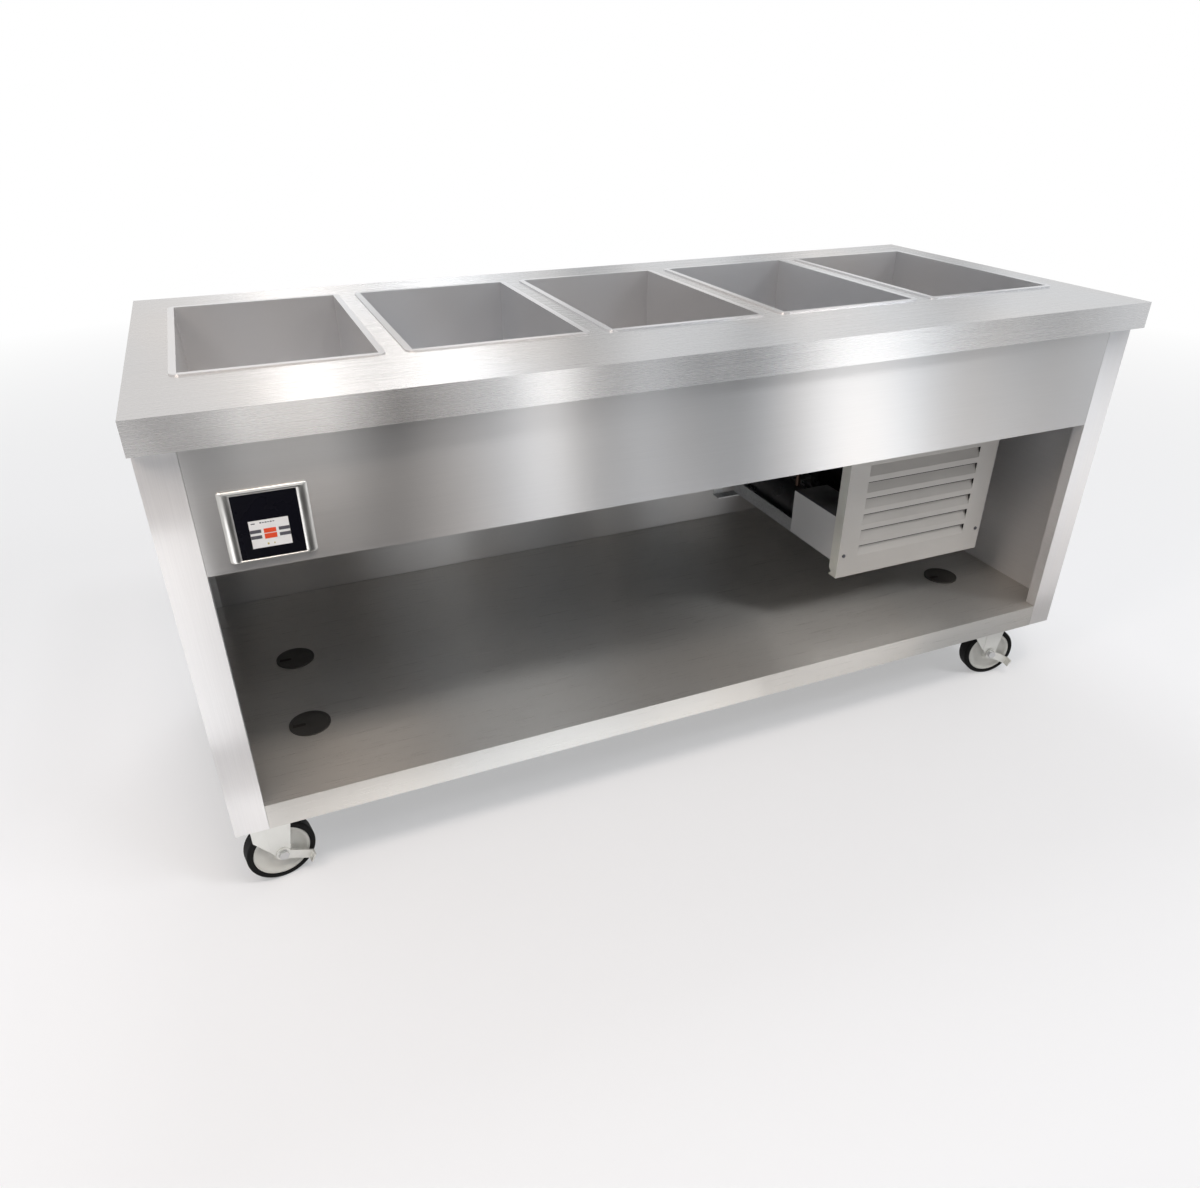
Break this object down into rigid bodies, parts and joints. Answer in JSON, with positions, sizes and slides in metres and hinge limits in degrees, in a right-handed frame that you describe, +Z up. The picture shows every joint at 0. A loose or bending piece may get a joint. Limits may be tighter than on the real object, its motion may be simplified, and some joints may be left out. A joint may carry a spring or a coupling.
{
  "type": "mobile salad bar",
  "caption": "Stainless serving counter on swivel casters, with open cold wells, an open shelf, a drain line and a louvred refrigeration unit under one half.",
  "frame": {"origin": "floor level in the middle of the counter's length and depth", "axes": "+X to the operator's right along the counter, -Y towards the operator, +Z up"},
  "size_m": [1.88, 0.806, 0.917],
  "materials": {
    "stainless_top": "brushed along the length",
    "stainless_wells": "fine brushed, drawn",
    "stainless_body": "brushed",
    "foam": "rigid foam, matte",
    "galvanised": "galvanised, dull",
    "drain_fittings": "polished",
    "drain_pipe": "grey pipe, satin",
    "brass": "machined",
    "red_grip": "dipped vinyl",
    "black_plastic": "matte",
    "zinc": "zinc plated, satin",
    "tyre": "smooth tread",
    "wheel_plastic": "satin moulded",
    "fastener_steel": "zinc plated",
    "bezel": "bright formed sheet",
    "face_black": "gloss overlay",
    "display_grey": "liquid crystal, unlit",
    "box_grey": "satin paint",
    "panel_white": "satin, off-white",
    "black_paint": "semi-gloss black",
    "coil_fins": "fins edge-on",
    "fan_aluminium": "stamped, satin",
    "copper": "bare copper tube",
    "gland_plastic": "matte"
  },
  "bodies": {
    "frame": {"countertop": "stainless_top", "well_1": "stainless_wells", "well_2": "stainless_wells", "well_3": "stainless_wells", "well_4": "stainless_wells", "well_5": "stainless_wells", "well_insulation": "foam", "well_casing": "galvanised", "well_drains": "drain_fittings", "drain_manifold": "drain_pipe", "drain_valve": "brass", "end_panel_left": "stainless_body", "end_panel_right": "stainless_body", "back_panel": "stainless_body", "front_apron": "stainless_body", "bottom_shelf": "stainless_body", "shelf_channels": "galvanised", "grommet_rings": "black_plastic", "caster_plates": "zinc", "fasteners": "fastener_steel", "control_bezel": "bezel", "control_face": "face_black", "control_display": "display_grey", "control_box": "box_grey", "louvre_panel": "panel_white", "unit_tray": "galvanised", "unit_hangers": "galvanised", "compressor": "black_paint", "condenser_coil": "coil_fins", "fan_shroud": "black_paint", "fan_motor": "black_paint", "receiver": "black_paint", "refrigerant_lines": "copper", "electrical_box": "box_grey", "cord_gland": "gland_plastic"},
    "swivel_1": {"caster_fork_1": "zinc", "axle_1": "fastener_steel"},
    "wheel_1": {"tyre_1": "tyre", "wheel_hub_1": "wheel_plastic"},
    "brake_1": {"brake_lever_1": "zinc"},
    "swivel_2": {"caster_fork_2": "zinc", "axle_2": "fastener_steel"},
    "wheel_2": {"tyre_2": "tyre", "wheel_hub_2": "wheel_plastic"},
    "brake_2": {"brake_lever_2": "zinc"},
    "swivel_3": {"caster_fork_3": "zinc", "axle_3": "fastener_steel"},
    "wheel_3": {"tyre_3": "tyre", "wheel_hub_3": "wheel_plastic"},
    "swivel_4": {"caster_fork_4": "zinc", "axle_4": "fastener_steel"},
    "wheel_4": {"tyre_4": "tyre", "wheel_hub_4": "wheel_plastic"},
    "cap_1": {"grommet_cap_1": "black_plastic"},
    "cap_2": {"grommet_cap_2": "black_plastic"},
    "cap_3": {"grommet_cap_3": "black_plastic"},
    "cap_4": {"grommet_cap_4": "black_plastic"},
    "fan": {"fan_blade": "fan_aluminium"},
    "valve_lever": {"drain_lever": "red_grip"}
  },
  "joints": [
    {"name": "swivel_1", "type": "hinge", "parent": "frame", "child": "swivel_1", "pos_m": [-0.85, -0.32, 0.14], "axis": [0, 0, 1], "continuous": true},
    {"name": "wheel_1_spin", "type": "hinge", "parent": "swivel_1", "child": "wheel_1", "pos_m": [-0.87364, -0.32417, 0.0625], "axis": [-0.1736, 0.9848, 0], "continuous": true},
    {"name": "brake_1_turn", "type": "hinge", "parent": "swivel_1", "child": "brake_1", "pos_m": [-0.86926, -0.34898, 0.0625], "axis": [-0.1736, 0.9848, 0], "range_deg": [0, 12]},
    {"name": "swivel_2", "type": "hinge", "parent": "frame", "child": "swivel_2", "pos_m": [0.85, -0.32, 0.14], "axis": [0, 0, 1], "continuous": true},
    {"name": "wheel_2_spin", "type": "hinge", "parent": "swivel_2", "child": "wheel_2", "pos_m": [0.82661, -0.3146, 0.0625], "axis": [0.225, 0.9744, 0], "continuous": true},
    {"name": "brake_2_turn", "type": "hinge", "parent": "swivel_2", "child": "brake_2", "pos_m": [0.82095, -0.33915, 0.0625], "axis": [0.225, 0.9744, 0], "range_deg": [0, 12]},
    {"name": "swivel_3", "type": "hinge", "parent": "frame", "child": "swivel_3", "pos_m": [-0.85, 0.32, 0.14], "axis": [0, 0, 1], "continuous": true},
    {"name": "wheel_3_spin", "type": "hinge", "parent": "swivel_3", "child": "wheel_3", "pos_m": [-0.87348, 0.31501, 0.0625], "axis": [-0.2079, 0.9781, 0], "continuous": true},
    {"name": "swivel_4", "type": "hinge", "parent": "frame", "child": "swivel_4", "pos_m": [0.85, 0.32, 0.14], "axis": [0, 0, 1], "continuous": true},
    {"name": "wheel_4_spin", "type": "hinge", "parent": "swivel_4", "child": "wheel_4", "pos_m": [0.82682, 0.32621, 0.0625], "axis": [0.2588, 0.9659, 0], "continuous": true},
    {"name": "cap_1_lift", "type": "slide", "parent": "frame", "child": "cap_1", "axis": [0, 0, 1], "range_m": [0, 0.03]},
    {"name": "cap_2_lift", "type": "slide", "parent": "frame", "child": "cap_2", "axis": [0, 0, 1], "range_m": [0, 0.03]},
    {"name": "cap_3_lift", "type": "slide", "parent": "frame", "child": "cap_3", "axis": [0, 0, 1], "range_m": [0, 0.03]},
    {"name": "cap_4_lift", "type": "slide", "parent": "frame", "child": "cap_4", "axis": [0, 0, 1], "range_m": [0, 0.03]},
    {"name": "fan_spin", "type": "hinge", "parent": "frame", "child": "fan", "pos_m": [0.6128, -0.15, 0.4815], "axis": [0, 1, 0], "continuous": true},
    {"name": "drain_lever_turn", "type": "hinge", "parent": "frame", "child": "valve_lever", "pos_m": [-0.5355, -0.229, 0.6], "axis": [0, 0, 1], "range_deg": [-90, 0]}
  ]
}
